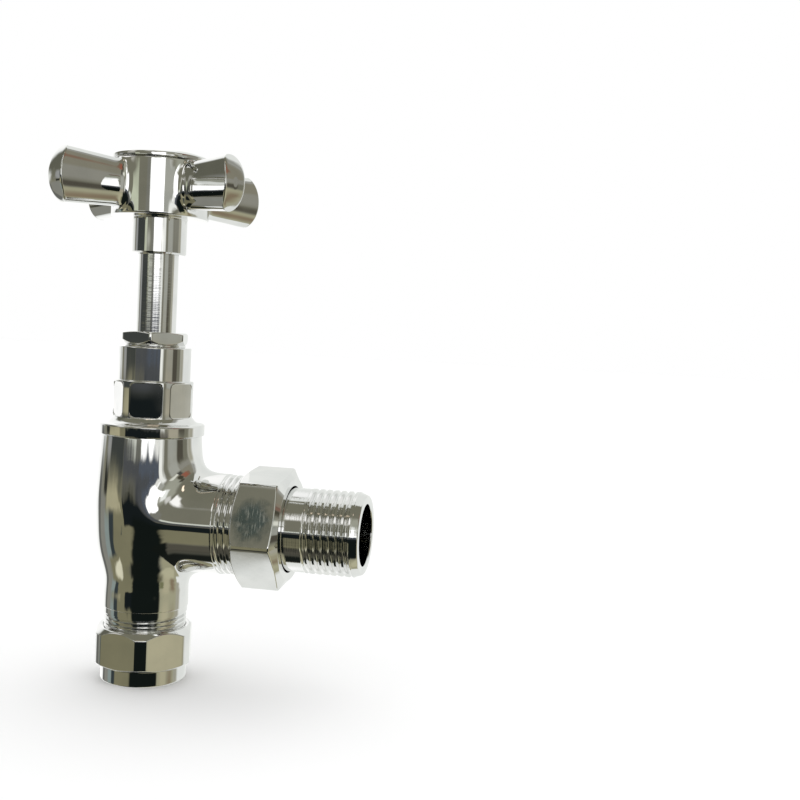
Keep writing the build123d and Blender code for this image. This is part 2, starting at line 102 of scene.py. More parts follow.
def polygon(angles, sides, turn, across_flats, corner=0.0):
    """Radius of a regular polygon with rounded corners; turn is the direction of one flat."""
    sector = 2 * pi / sides
    off = np.abs((angles - turn + sector / 2) % sector - sector / 2)
    flat = across_flats / 2 / np.cos(off)
    hub = (across_flats / 2 - corner) / cos(sector / 2)
    away = sector / 2 - off
    arc = hub * np.cos(away) + np.sqrt(np.maximum(corner**2 - (hub * np.sin(away)) ** 2, 0))
    at_corner = np.tan(off) > hub * sin(sector / 2) / (across_flats / 2)
    return np.where(at_corner, arc, flat)


def flat_angles(sides, turn, edge, per_flat=18, per_corner=7):
    """Directions for a polygon's columns, closest together where flats end, edge from their middle."""
    half = pi / sides
    before = np.linspace(-half, -edge, per_corner)[:-1]
    flat = np.linspace(-edge, edge, per_flat)
    after = np.linspace(edge, half, per_corner)[1:-1]
    across = np.concatenate([before, flat, after])
    return np.concatenate([turn + side * 2 * half + across for side in range(sides)])


def thread_rows(angles, low, high, pitch, crest, depth, fades, per_turn=14):
    """Rows that follow a thread's ridges between two heights; fades are its run-in and run-out."""
    rows = []
    turns = (high - low) / pitch + 1
    for k in range(int(per_turn * turns) + 2):
        along = np.clip(low - pitch + pitch * (k / per_turn + angles / (2 * pi)), low, high)
        phase = ((along - low) / pitch - angles / (2 * pi)) % 1
        groove = 0.5 - 0.5 * np.cos(2 * pi * phase)
        groove = np.clip(1.5 * groove - 0.35, 0, 1)
        ease = np.clip((along - low) / fades[0], 0, 1) * np.clip((high - along) / fades[1], 0, 1)
        rows.append(np.array([crest - depth * groove * ease, along]))
    return rows


# ---- meshes ----------------------------------------------------------------------------------------


def upright(radius, angles, along):
    """Points round the valve's own axis."""
    return np.stack([radius * np.cos(angles), radius * np.sin(angles), along + 0 * angles], -1)


def sideways(radius, angles, along):
    """Points round the outlet's axis."""
    up = OUTLET_Z + radius * np.sin(angles)
    return np.stack([along + 0 * angles, radius * np.cos(angles), up], -1)


def bearing_upright(p):
    """A point's direction round the valve's own axis."""
    return atan2(p[1], p[0])


def bearing_sideways(p):
    """A point's direction round the outlet's axis."""
    return atan2(p[2] - OUTLET_Z, p[1])


def make_piece(name, points, faces, sharp=40):
    """A mesh object from points in millimetres: welded, facing out, smooth between sharp edges."""
    mesh = bpy.data.meshes.new(name)
    mesh.from_pydata([tuple(p) for p in np.asarray(points) * MM], [], faces)
    work = bmesh.new()
    work.from_mesh(mesh)
    bmesh.ops.remove_doubles(work, verts=work.verts, dist=2e-6)
    bmesh.ops.dissolve_degenerate(work, edges=work.edges, dist=1e-6)
    bmesh.ops.recalc_face_normals(work, faces=work.faces)
    work.to_mesh(mesh)
    work.free()
    mesh.shade_smooth()
    mesh.set_sharp_from_angle(angle=radians(sharp))
    made = bpy.data.objects.new(name, mesh)
    bpy.context.scene.collection.objects.link(made)
    weighted = made.modifiers.new("even_normals", "WEIGHTED_NORMAL")
    weighted.keep_sharp = True
    return made


def ring_faces(rows, columns, first=0, thread=None, closed=True):
    """Quads between rows of columns; thread is the first and last climbing row and the rows a turn."""
    faces = []
    for i in range(rows if closed else rows - 1):
        after = (i + 1) % rows
        for j in range(columns):
            right, right_after = i, after
            if j == columns - 1 and thread:
                right, right_after = (climbed(row, thread) for row in (i, after))
            across = (j + 1) % columns
            faces.append(
                [first + i * columns + j, first + right * columns + across,
                 first + right_after * columns + across, first + after * columns + j]
            )
    return faces


def climbed(row, thread):
    """The row that a thread row meets after one whole turn, whichever way the rows run."""
    start, end, per_turn = thread
    return max(min(row + per_turn, end), start) if start <= row <= end else row


def turned(name, rows, angles=ROUND, place=upright, thread=None, sharp=40):
    """A closed piece: a loop of section rows swept round an axis."""
    points = np.concatenate([place(radius, angles, along) for radius, along in rows])
    return make_piece(name, points, ring_faces(len(rows), len(angles), 0, thread), sharp)


# ---- surfaces from distance fields -----------------------------------------------------------------


def slope_of(field, points):
    """The field's direction of steepest rise at each point."""
    step = 1e-3
    moves = np.eye(3) * step
    return np.stack([(field(points + m) - field(points - m)) / (2 * step) for m in moves], -1)


def lay_on(field, points, times=3):
    """Slide points straight on to the field's zero surface."""
    for _ in range(times):
        slope = slope_of(field, points)
        points = points - slope * (field(points) / (slope**2).sum(-1))[:, None]
    return points


def lay_on_both(field, other, points, times=6):
    """Slide points on to the curve where two surfaces meet."""
    for _ in range(times):
        a, b = slope_of(field, points), slope_of(other, points)
        fa, fb = field(points), other(points)
        aa, ab, bb = (a * a).sum(-1), (a * b).sum(-1), (b * b).sum(-1)
        size = aa * bb - ab**2
        along_a = ((fa * bb - fb * ab) / size)[:, None]
        along_b = ((fb * aa - fa * ab) / size)[:, None]
        points = points - a * along_a - b * along_b
    return points


def skin_of(field, low, high, step):
    """Points and quads on the field's zero surface inside a box, from a grid of this step."""
    axes = [np.arange(low[i], high[i] + step / 2, step) for i in range(3)]
    grid = np.stack(np.meshgrid(*axes, indexing="ij"), -1)
    value = field(grid.reshape(-1, 3)).reshape(grid.shape[:3])
    cells = tuple(n - 1 for n in value.shape)
    total = np.zeros(cells + (3,))
    hits = np.zeros(cells)
    crossings = []
    for axis in range(3):
        near = tuple(slice(0, -1) if i == axis else slice(None) for i in range(3))
        far = tuple(slice(1, None) if i == axis else slice(None) for i in range(3))
        a, b = value[near], value[far]
        spots = np.argwhere((a < 0) != (b < 0))
        at = tuple(spots.T)
        share = (a[at] / (a[at] - b[at]))[:, None]
        places = grid[near][at] * (1 - share) + grid[far][at] * share
        sides = [i for i in range(3) if i != axis]
        around = []
        for du, dv in ((-1, -1), (0, -1), (0, 0), (-1, 0)):
            cell = spots.copy()
            cell[:, sides[0]] += du
            cell[:, sides[1]] += dv
            around.append(cell)
            good = ((cell >= 0) & (cell < cells)).all(-1)
            np.add.at(total, tuple(cell[good].T), places[good])
            np.add.at(hits, tuple(cell[good].T), 1)
        crossings.append(around)
    used = hits > 0
    number = np.full(cells, -1)
    number[used] = np.arange(used.sum())
    points = total[used] / hits[used][:, None]
    quads = []
    for around in crossings:
        good = np.ones(len(around[0]), bool)
        for cell in around:
            good &= ((cell >= 0) & (cell < cells)).all(-1)
        quads.append(np.stack([number[tuple(cell[good].T)] for cell in around], -1))
    quads = np.concatenate(quads)
    return relaxed(field, points, quads), quads


def relaxed(field, points, quads, times=3):
    """Even out the points' spacing and keep them on the surface."""
    points = lay_on(field, points)
    edges = np.concatenate([quads[:, [0, 1]], quads[:, [1, 2]], quads[:, [2, 3]], quads[:, [3, 0]]])
    edges = np.concatenate([edges, edges[:, ::-1]])
    count = np.bincount(edges[:, 0], minlength=len(points))[:, None]
    for _ in range(times):
        middle = np.zeros_like(points)
        np.add.at(middle, edges[:, 0], points[edges[:, 1]])
        points = lay_on(field, 0.5 * points + 0.5 * middle / np.maximum(count, 1), 2)
    return points


def loops_of(quads):
    """The open edges of a skin as closed loops of point numbers."""
    count = {}
    for quad in quads.tolist():
        for a, b in zip(quad, quad[1:] + quad[:1]):
            key = (min(a, b), max(a, b))
            count[key] = count.get(key, 0) + 1
    beside = {}
    for (a, b), n in count.items():
        if n == 1:
            beside.setdefault(a, []).append(b)
            beside.setdefault(b, []).append(a)
    loops = []
    while beside:
        start = next(iter(beside))
        loop, here = [start], start
        while beside.get(here):
            step = beside[here].pop()
            beside[step].remove(here)
            if not beside[here]:
                del beside[here]
            if step == start:
                break
            loop.append(step)
            here = step
        beside = {k: v for k, v in beside.items() if v}
        loops.append(loop)
    return loops


class Skin:
    """A growing surface: points in millimetres, faces, and rings added to its open edges."""

    def __init__(self, points, quads):
        self.points = [np.asarray(points)]
        self.faces = quads.tolist()
        self.count = len(points)

    def add(self, points):
        """Add points and return their numbers."""
        numbers = list(range(self.count, self.count + len(points)))
        self.points.append(np.asarray(points))
        self.count += len(points)
        return numbers

    def at(self, numbers):
        """Places of the numbered points."""
        return np.concatenate(self.points)[numbers]

    def band(self, ring, next_ring):
        """Quads between two rings of the same count."""
        for j in range(len(ring)):
            k = (j + 1) % len(ring)
            self.faces.append([ring[j], ring[k], next_ring[k], next_ring[j]])

    def zip_to(self, ring, next_ring, turn_of):
        """Triangles between two rings of any counts, matched by each point's direction round the axis."""
        a = sorted(ring, key=lambda n: turn_of(self.at([n])[0]))
        b = sorted(next_ring, key=lambda n: turn_of(self.at([n])[0]))
        turn_a = [turn_of(p) for p in self.at(a)]
        turn_b = [turn_of(p) for p in self.at(b)]
        i = j = 0
        while i < len(a) or j < len(b):
            next_a = turn_a[(i + 1) % len(a)] + 2 * pi * ((i + 1) // len(a))
            next_b = turn_b[(j + 1) % len(b)] + 2 * pi * ((j + 1) // len(b))
            if j >= len(b) or (i < len(a) and next_a <= next_b):
                self.faces.append([a[i % len(a)], a[(i + 1) % len(a)], b[j % len(b)]])
                i += 1
            else:
                self.faces.append([a[i % len(a)], b[(j + 1) % len(b)], b[j % len(b)]])
                j += 1

    def round_edge(self, loop, field, keep, rounding, steps=4):
        """Roll the skin over a cut edge on to the cutting surface; return the last ring."""
        start = self.at(loop)
        outward = slope_of(field, start)
        across = slope_of(keep, start)
        across /= np.linalg.norm(across, axis=-1)[:, None]
        inward = -(outward - across * (outward * across).sum(-1)[:, None])
        inward /= np.linalg.norm(inward, axis=-1)[:, None]
        ring = loop
        for turn in np.linspace(0, pi / 2, steps + 1)[1:]:
            places = start + inward * rounding * (1 - cos(turn)) + across * rounding * sin(turn)
            after = self.add(places)
            self.band(ring, after)
            ring = after
        return ring

    def make(self, name):
        """The finished object."""
        return make_piece(name, np.concatenate(self.points), self.faces)


def cut_skin(field, keep, low, high, step, rounding):
    """A skin of the field inside keep, with its open loops laid on the cut."""
    points, quads = skin_of(field, low, high, step)
    quads = quads[keep(points[quads].mean(1)) < -rounding * 0.5]
    loops = [loop for loop in loops_of(quads) if len(loop) > 12]
    rim = np.array(sorted(set(n for loop in loops for n in loop)))
    points[rim] = lay_on_both(field, lambda p: keep(p) + rounding, points[rim])
    used = np.unique(quads)
    number = np.full(len(points), -1)
    number[used] = np.arange(len(used))
    return Skin(points[used], number[quads]), [[int(number[n]) for n in loop] for loop in loops]


def soft_union(a, b, radius):
    """Both solids, with a hollow fillet of about this radius between them that starts gently."""
    width = 1.76 * radius
    near = np.maximum(width - np.abs(a - b), 0) / width
    return np.minimum(a, b) - near**3 * width / 6


# ---- pieces: inlet, union and tail -----------------------------------------------------------------

PIPE_R = 7.55
INLET_THREAD_R = 10.25
NUT_TURN = radians(-41.3)
UNION_TURN = pi + radians(-20)
PITCH = 1.814


def compression_nut():
    """Nut on the pipe: a round rim below six flats whose corners are turned off."""
    rim_r, rim_z, land_r, across = 10.7, 4.0, 12.6, 23.2
    angles = flat_angles(6, NUT_TURN, np.arccos(across / 2 / land_r))
    side = np.minimum(polygon(angles, 6, NUT_TURN, across, 0.3), land_r)
    section = [
        (PIPE_R, 0.0, 0.25),
        (rim_r, 0.0, 0.45),
        (rim_r, rim_z - 0.1, 0.25),
        (11.25, rim_z, 0.2),
        (side, rim_z + 0.1 + 0.5 * (side - 11.3), 0.45),
        (side, NUT_TOP - 0.1 - 1.1 * (side - 11.45), 0.45),
        (11.25, NUT_TOP, 0.4),
        (INLET_THREAD_R + 0.05, NUT_TOP, 0.2),
        (INLET_THREAD_R + 0.05, 5.55),
        (PIPE_R, 2.8),
    ]
    return turned("chrome_compression_nut", outline(section, len(angles)), angles)


def union_nut():
    """Nut that draws the tail on: six long flats, corners turned off at both ends."""
    thread_r, hole_r, land_r, across = 12.4, 10.7, 15.38, 27.0
    angles = flat_angles(6, UNION_TURN, np.arccos(across / 2 / land_r))
    side = np.minimum(polygon(angles, 6, UNION_TURN, across, 0.3), land_r)
    section = [
        (thread_r, UNION_START, 0.2),
        (12.95, UNION_START, 0.3),
        (side, UNION_START + 0.3 + 0.5 * (side - 13.5), 0.5),
        (side, UNION_END - 1.25 - 0.12 * (side - 13.5), 0.5),
        (12.6, UNION_END, 0.4),
        (hole_r, UNION_END, 0.25),
        (hole_r, UNION_END - 4.1),
        (thread_r, UNION_END - 4.1),
    ]
    return turned("chrome_union_nut", outline(section, len(angles)), angles, sideways)


def tailpiece():
    """Threaded tail: flange, turned neck, pipe thread, chamfered mouth and a six-sided key hole."""
    flange_r, neck_r, bore_r, mouth_r = 11.9, 10.35, 7.6, 9.7
    thread_low, thread_high, key_end = 42.7, TAIL_END - 1.9, 46.0
    key = polygon(ROUND, 6, 0, 12.0, 0.3)
    start = [(key, TAIL_START), (flange_r, TAIL_START, 0.2), (flange_r, TAIL_START + 1.55, 0.2)]
    start += [(neck_r, TAIL_START + 1.55), (neck_r, thread_low - 0.3, 0.1)]
    end = [(mouth_r + 0.55, TAIL_END - 1.6, 0.3), (mouth_r, TAIL_END, 0.4), (bore_r, TAIL_END, 0.3)]
    end += [(bore_r, key_end), (key, key_end)]
    rows = outline(start + [(neck_r, thread_low)] + end, len(ROUND))
    cut = len(outline(start, len(ROUND)))
    spiral = thread_rows(ROUND, thread_low, thread_high, PITCH, 10.47, 0.95, (1.2, 0.7))
    rows = rows[:cut] + spiral + rows[cut + 1:]
    thread = (cut, cut + len(spiral) - 1, 14)
    return turned("chrome_tailpiece", rows, ROUND, sideways, thread, 50)


# ---- pieces: body ------------------------------------------------------------------------------------

BARREL = (
    (15.0, 10.6), (22.0, 10.6), (25.0, 10.6), (28.0, 11.2), (31.7, 12.2), (35.8, 12.9),
    (40.0, 13.22), (45.0, 13.38), (50.0, 13.22), (56.0, 12.87), (62.2, 12.45), (66.0, 12.2),
)
BRANCH_R = 12.5
BRANCH_SHOULDER = 21.0
BRANCH_THREAD_R = 12.33
BRANCH_PITCH = 1.5
NECK_Z = 18.6
COLLAR_Z = 17.3
INLET_PITCH = 1.1
SIDE_FILLET = 1.7
CROTCH_FILLET = 2.6
BODY_STEP = 0.445
BODY_EDGE = 0.2
THREAD_STEPS = 12


def spline_through(knots, at):
    """A natural cubic spline through the knots, for every value in at."""
    x, y = np.array(knots).T
    gap = np.diff(x)
    n = len(x)
    matrix = np.eye(n)
    bend = np.zeros(n)
    for i in range(1, n - 1):
        matrix[i, i - 1:i + 2] = gap[i - 1], 2 * (gap[i - 1] + gap[i]), gap[i]
        bend[i] = 6 * ((y[i + 1] - y[i]) / gap[i] - (y[i] - y[i - 1]) / gap[i - 1])
    curve = np.linalg.solve(matrix, bend)
    at = np.clip(at, x[0], x[-1])
    i = np.clip(np.searchsorted(x, at) - 1, 0, n - 2)
    ahead, behind = x[i + 1] - at, at - x[i]
    cubic = (curve[i] * ahead**3 + curve[i + 1] * behind**3) / (6 * gap[i])
    line = (y[i] / gap[i] - curve[i] * gap[i] / 6) * ahead
    return cubic + line + (y[i + 1] / gap[i] - curve[i + 1] * gap[i] / 6) * behind


def body_field(p):
    """Barrel and branch with a casting's fillet, widest where they meet squarely."""
    x, y, z = p[:, 0], p[:, 1], p[:, 2]
    barrel_r = np.hypot(x, y)
    branch_r = np.hypot(y, z - OUTLET_Z)
    barrel = barrel_r - spline_through(BARREL, z)
    branch = np.maximum(branch_r - BRANCH_R, -x)
    square = 1 - np.clip(y * y / np.maximum(barrel_r * branch_r, 1e-6), 0, 1)
    return soft_union(barrel, branch, CROTCH_FILLET * square + SIDE_FILLET)


def body_keep(p):
    """Negative between the neck, the top rim and the branch's shoulder."""
    return np.maximum(np.maximum(NECK_Z - p[:, 2], p[:, 2] - BARREL_TOP), p[:, 0] - BRANCH_SHOULDER)


def solid_bore(name, corners, place=upright):
    """A plain turned solid, used to hollow another piece."""
    return turned(name, outline(corners, len(ROUND)), ROUND, place)


def hollow(made, cutters):
    """Take the cutters out of a piece and delete them."""
    for cutter in cutters:
        cut = made.modifiers.new("bore", "BOOLEAN")
        cut.operation = "DIFFERENCE"
        cut.solver = "EXACT"
        cut.object = cutter
        cutter.modifiers.clear()
    weighted = made.modifiers.get("even_normals")
    made.modifiers.remove(weighted)
    mesh = bpy.data.meshes.new_from_object(made.evaluated_get(bpy.context.evaluated_depsgraph_get()))
    made.modifiers.clear()
    made.data = mesh
    mesh.shade_smooth()
    mesh.set_sharp_from_angle(angle=radians(40))
    made.modifiers.new("even_normals", "WEIGHTED_NORMAL").keep_sharp = True
    for cutter in cutters:
        bpy.data.objects.remove(cutter)
    return made


def body():
    """Cast body: swelling barrel, side branch, a screw thread at the inlet and one at the branch."""
    low = (-14.4, -14.6, NECK_Z - 4.5 * BODY_STEP)
    high = (22.5, 14.6, BARREL_TOP + 4 * BODY_STEP)
    skin, loops = cut_skin(body_field, body_keep, low, high, BODY_STEP, BODY_EDGE)
    for loop in loops:
        ring = skin.round_edge(loop, body_field, body_keep, BODY_EDGE)
        centre = skin.at(ring).mean(0)
        if centre[0] > BRANCH_SHOULDER / 2:
            branch_thread(skin, ring)
        elif centre[2] < OUTLET_Z:
            inlet_thread(skin, ring)
        else:
            inner = skin.add(upright(np.full(len(ROUND), 8.0), ROUND, BARREL_TOP))
            skin.zip_to(ring, inner, bearing_upright)
            skin.faces.append(inner)
    return hollow(skin.make("chrome_body"), body_bores())


def branch_thread(skin, ring):
    """Carry the branch on with the thread that the union nut screws on."""
    low, high = BRANCH_SHOULDER + 0.5, BRANCH_END - 0.6
    spiral = thread_rows(ROUND, low, high, BRANCH_PITCH, BRANCH_THREAD_R, 0.75, (0.6, 0.6), THREAD_STEPS)
    start = [(BRANCH_THREAD_R, BRANCH_SHOULDER)]
    end = [(BRANCH_THREAD_R, BRANCH_END - 0.6), (BRANCH_THREAD_R - 0.5, BRANCH_END)]
    end_in_thread(skin, ring, start, spiral, end, sideways, bearing_sideways, THREAD_STEPS)


def inlet_thread(skin, ring):
    """Carry the neck on down: a low collar, then the thread for the nut on the pipe."""
    low, high = NECK_LOW + 0.6, COLLAR_Z - 0.3
    spiral = thread_rows(ROUND, low, high, INLET_PITCH, INLET_THREAD_R, 0.6, (0.6, 0.4), THREAD_STEPS)
    collar_r = INLET_THREAD_R + 0.2
    start = [(collar_r, NECK_Z), (collar_r, COLLAR_Z), (INLET_THREAD_R, COLLAR_Z)]
    end = [(INLET_THREAD_R, NECK_LOW + 0.6), (INLET_THREAD_R - 0.5, NECK_LOW)]
    end_in_thread(skin, ring, start, spiral[::-1], end, upright, bearing_upright, -THREAD_STEPS)


def end_in_thread(skin, ring, start, spiral, end, place, bearing, per_turn):
    """Join an open edge to rows of a shoulder, a screw thread and a flat end, and close it."""
    full = np.ones(len(ROUND))
    first_r, first_along = start[0]
    first = skin.add(place(first_r * full, ROUND, first_along * full))
    skin.zip_to(ring, first, bearing)
    before = [(r * full, along * full) for r, along in start]
    after = [(r * full, along * full) for r, along in end]
    rows = before + spiral + after
    numbers = skin.add(np.concatenate([place(r, ROUND, along) for r, along in rows]))
    thread = (len(start), len(start) + len(spiral) - 1, per_turn)
    skin.faces += ring_faces(len(rows), len(ROUND), numbers[0], thread, closed=False)
    skin.faces.append(numbers[-len(ROUND):])


def body_bores():
    """The body's hollows: pipe socket, seat and chamber upwards, and the way out sideways."""
    above, beyond = BARREL_TOP + 1, BRANCH_END + 1
    seat_r, chamber_r, bonnet_r, rim_r, outlet_r = 6.2, 9.6, 10.45, 11.6, 7.5
    socket_end, seat_z, bonnet_low, bonnet_high = 18.0, 29.0, 48.0, 61.2
    inlet = [(0, NECK_LOW - 1), (10.2, NECK_LOW - 1), (PIPE_R, 8.6), (PIPE_R, socket_end)]
    seat = [(seat_r, socket_end), (seat_r, seat_z)]
    chamber = [(chamber_r, seat_z + 0.05), (chamber_r, bonnet_low), (bonnet_r, bonnet_low)]
    rim = [(bonnet_r, bonnet_high), (rim_r, bonnet_high), (rim_r, above), (0, above)]
    outlet = [(0, 0.0), (outlet_r, 0.0), (outlet_r, beyond), (0, beyond)]
    up = solid_bore("bore_up", inlet + seat + chamber + rim)
    return [up, solid_bore("bore_out", outlet, sideways)]


# ---- pieces: bonnet, gland and spindle -------------------------------------------------------------

BONNET_TURN = radians(-18.7)
GLAND_TURN = radians(-45.7)
SHAFT_R = 4.95


def bonnet():
    """Bonnet: flange, a milled hexagon between round lands, and the stuffing box."""
    round_r, across, flat_low, flat_high, corner = 9.85, 18.0, 66.75, 75.3, 1.5
    half_width = np.sqrt(round_r**2 - (across / 2) ** 2)
    angles = flat_angles(6, BONNET_TURN, np.arccos(across / 2 / round_r), 26, 5)
    side = np.minimum(polygon(angles, 6, BONNET_TURN, across), round_r)
    off = np.abs((angles - BONNET_TURN + pi / 6) % (pi / 3) - pi / 6)
    beyond = np.clip(np.tan(off) * across / 2 - (half_width - corner), 0, corner)
    drop = corner - np.sqrt(corner**2 - beyond**2)
    section = [
        (7.05, BONNET_FOOT, 0.2),
        (10.4, BONNET_FOOT, 0.3),
        (10.4, BARREL_TOP),
        (FLANGE_R, BARREL_TOP, 0.25),
        (FLANGE_R, 64.95, 0.5),
        (10.9, 65.25, 2.2),
        (round_r, 66.6, 0.1),
        (round_r, flat_low + drop, 0.08),
        (side, flat_low + drop, 0.08),
        (side, flat_high - drop, 0.08),
        (round_r, flat_high - drop, 0.08),
        (round_r, 75.75, 0.25),
        (9.0, 75.85, 0.1),
        (9.0, BONNET_TOP, 0.35),
        (7.0, BONNET_TOP),
        (7.0, 76.0),
        (5.0, 76.0),
        (5.0, 68.0),
        (7.05, 68.0),
    ]
    return turned("chrome_bonnet", outline(section, len(angles), 4), angles)


def gland_nut():
    """Gland nut: a spigot in the stuffing box, a thin washer face and a low hexagon."""
    across, land_r = 15.0, 8.6
    face_z = BONNET_TOP + 0.6
    angles = flat_angles(6, GLAND_TURN, np.arccos(across / 2 / land_r))
    side = np.minimum(polygon(angles, 6, GLAND_TURN, across, 0.2), land_r)
    section = [
        (SHAFT_R + 0.05, GLAND_FOOT),
        (6.95, GLAND_FOOT, 0.2),
        (6.95, BONNET_TOP + 0.02),
        (7.5, BONNET_TOP + 0.02, 0.15),
        (7.5, face_z - 0.1, 0.1),
        (7.3, face_z, 0.1),
        (side, face_z + 0.9 * (side - 7.4), 0.2),
        (side, GLAND_TOP - 0.35 * (side - 7.4), 0.2),
        (7.3, GLAND_TOP, 0.15),
        (SHAFT_R + 0.05, GLAND_TOP, 0.2),
    ]
    return turned("chrome_gland_nut", outline(section, len(angles)), angles)


def spindle():
    """Spindle: screw in the bonnet, polished shaft and a square end for the handle."""
    screw_r, foot_r, socket_r, socket_top, square_low = 7.0, 5.2, 2.85, 53.0, 118.8
    screw_hole_r, screw_hole_end = 1.7, SPINDLE_TOP - 12.0
    square = np.minimum(polygon(ROUND, 4, ARM_TURN, 6.9, 0.3), SHAFT_R)
    start = [(0, socket_top), (socket_r, socket_top), (socket_r, SPINDLE_FOOT, 0.2)]
    start += [(foot_r, SPINDLE_FOOT, 0.3), (foot_r, 48.0), (screw_r, 48.3, 0.3)]
    end = [(screw_r, 60.0, 0.3), (SHAFT_R, 60.3), (SHAFT_R, square_low), (square, square_low)]
    end += [(square, SPINDLE_TOP, 0.3), (screw_hole_r, SPINDLE_TOP)]
    end += [(screw_hole_r, screw_hole_end), (0, screw_hole_end)]
    rows = outline(start + end, len(ROUND))
    cut = len(outline(start, len(ROUND)))
    spiral = thread_rows(ROUND, 48.8, 59.4, 1.5, screw_r, 0.8, (0.5, 0.5), THREAD_STEPS)
    rows = rows[:cut] + spiral + rows[cut:]
    thread = (cut, cut + len(spiral) - 1, THREAD_STEPS)
    return turned("chrome_spindle", rows, ROUND, upright, thread)


# ---- pieces: handle --------------------------------------------------------------------------------

ARM_TURN = radians(-32.3)
ARM_Z = 123.6
ARM_HALF_WIDTH = 2.9
ARM_ROOT_HEIGHT = 5.7
ARM_TIP_HEIGHT = 6.75
ARM_FULLNESS = 2.6
ARM_FILLET = 1.8
HUB_R = 12.0
HUB_LOW = 116.3
HUB_TOP = 130.0
TIP_R = 29.5
TIP_SAG = 2.7
TIP_BALL_R = (ARM_TIP_HEIGHT**2 + TIP_SAG**2) / (2 * TIP_SAG)
HANDLE_EDGE = 0.3
WELL_R = 10.2
SKIRT_R = 6.75


def arm_field(along, across, up):
    """Distance from one pair of arms, a full oval bar that grows towards its ends."""
    growth = (ARM_TIP_HEIGHT - ARM_ROOT_HEIGHT) / (TIP_R - HUB_R)
    height = ARM_ROOT_HEIGHT + growth * (np.abs(along) - HUB_R)
    wide, high = np.abs(across) / ARM_HALF_WIDTH, np.abs(up) / height
    share = (wide**ARM_FULLNESS + high**ARM_FULLNESS + 1e-9) ** (1 / ARM_FULLNESS)
    slope = ARM_FULLNESS - 1
    rise = np.hypot((wide / share) ** slope / ARM_HALF_WIDTH, (high / share) ** slope / height) + 1e-6
    return (share - 1) / rise


def handle_field(p):
    """Hub and four arms, with a hollow fillet between them."""
    x, y, up = p[:, 0], p[:, 1], p[:, 2] - ARM_Z
    arms = np.minimum(arm_field(x, y, up), arm_field(y, x, up))
    return soft_union(np.hypot(x, y) - HUB_R, arms, ARM_FILLET)


def handle_keep(p):
    """Negative inside the hub's two faces, which only count near the hub, and the arms' domed ends."""
    out = np.hypot(p[:, 0], p[:, 1])
    slack = np.maximum(out - 15.5, 0)
    faces = np.maximum(p[:, 2] - HUB_TOP, HUB_LOW - p[:, 2]) - slack
    dome = np.hypot(out - (TIP_R - TIP_BALL_R), p[:, 2] - ARM_Z) - TIP_BALL_R
    return np.maximum(faces, np.where(out > 18, dome, -5.0))


def domed_end(skin, ring):
    """Close an arm's end with rings that shrink over its dome."""
    start = skin.at(ring)
    middle = start.mean(0)
    axis = int(np.argmax(np.abs(middle[:2])))
    side = 1 - axis
    rings = 7
    for k in range(1, rings):
        share = 1 - k / rings
        places = start.copy()
        places[:, side] *= share
        places[:, 2] = ARM_Z + (start[:, 2] - ARM_Z) * share
        out = TIP_R - TIP_BALL_R + np.sqrt(TIP_BALL_R**2 - (places[:, 2] - ARM_Z) ** 2)
        places[:, axis] = np.sign(middle[axis]) * np.sqrt(out**2 - places[:, side] ** 2)
        after = skin.add(places)
        skin.band(ring, after)
        ring = after
    skin.faces.append(ring)


def handle_wells():
    """The handle's hollows from the hub's top face down, as radii and heights."""
    seat_z = CAP_FOOT - 0.05
    cap_well = [(WELL_R, HUB_TOP), (WELL_R, seat_z)]
    screw_well = [(3.8, seat_z), (3.8, 124.0), (2.05, 124.0), (2.05, 122.8)]
    shaft_well = [(5.0, 122.8), (5.0, SKIRT_FOOT)]
    skirt = [(6.35, SKIRT_FOOT), (SKIRT_R, SKIRT_FOOT + 0.4), (SKIRT_R, HUB_LOW - 0.25)]
    skirt_fillet = [(SKIRT_R + 0.08, HUB_LOW - 0.07), (SKIRT_R + 0.25, HUB_LOW)]
    return cap_well + screw_well + shaft_well + skirt + skirt_fillet


def handle_cross():
    """Handle casting: hub, four oval arms with domed ends, skirt, and the wells inside."""
    step = (HUB_TOP - HUB_LOW) / 46
    reach = np.ceil((TIP_R + 1) / step) * step
    low = (-reach - step / 2, -reach - step / 2, HUB_LOW - 4.5 * step)
    high = (reach + step, reach + step, HUB_TOP + 5 * step)
    skin, loops = cut_skin(handle_field, handle_keep, low, high, step, HANDLE_EDGE)
    rims = {}
    for loop in loops:
        ring = skin.round_edge(loop, handle_field, handle_keep, HANDLE_EDGE)
        centre = skin.at(ring).mean(0)
        if np.hypot(centre[0], centre[1]) > HUB_R:
            domed_end(skin, ring)
        else:
            rims["top" if centre[2] > ARM_Z else "bottom"] = ring
    full = np.ones(len(ROUND))
    rings = [skin.add(upright(radius * full, ROUND, height * full)) for radius, height in handle_wells()]
    skin.zip_to(rims["top"], rings[0], bearing_upright)
    for ring, next_ring in zip(rings, rings[1:]):
        skin.band(ring, next_ring)
    skin.zip_to(rims["bottom"], rings[-1], bearing_upright)
    made = skin.make("chrome_handle")
    made.data.transform(Matrix.Rotation(ARM_TURN, 4, "Z"))
    return made


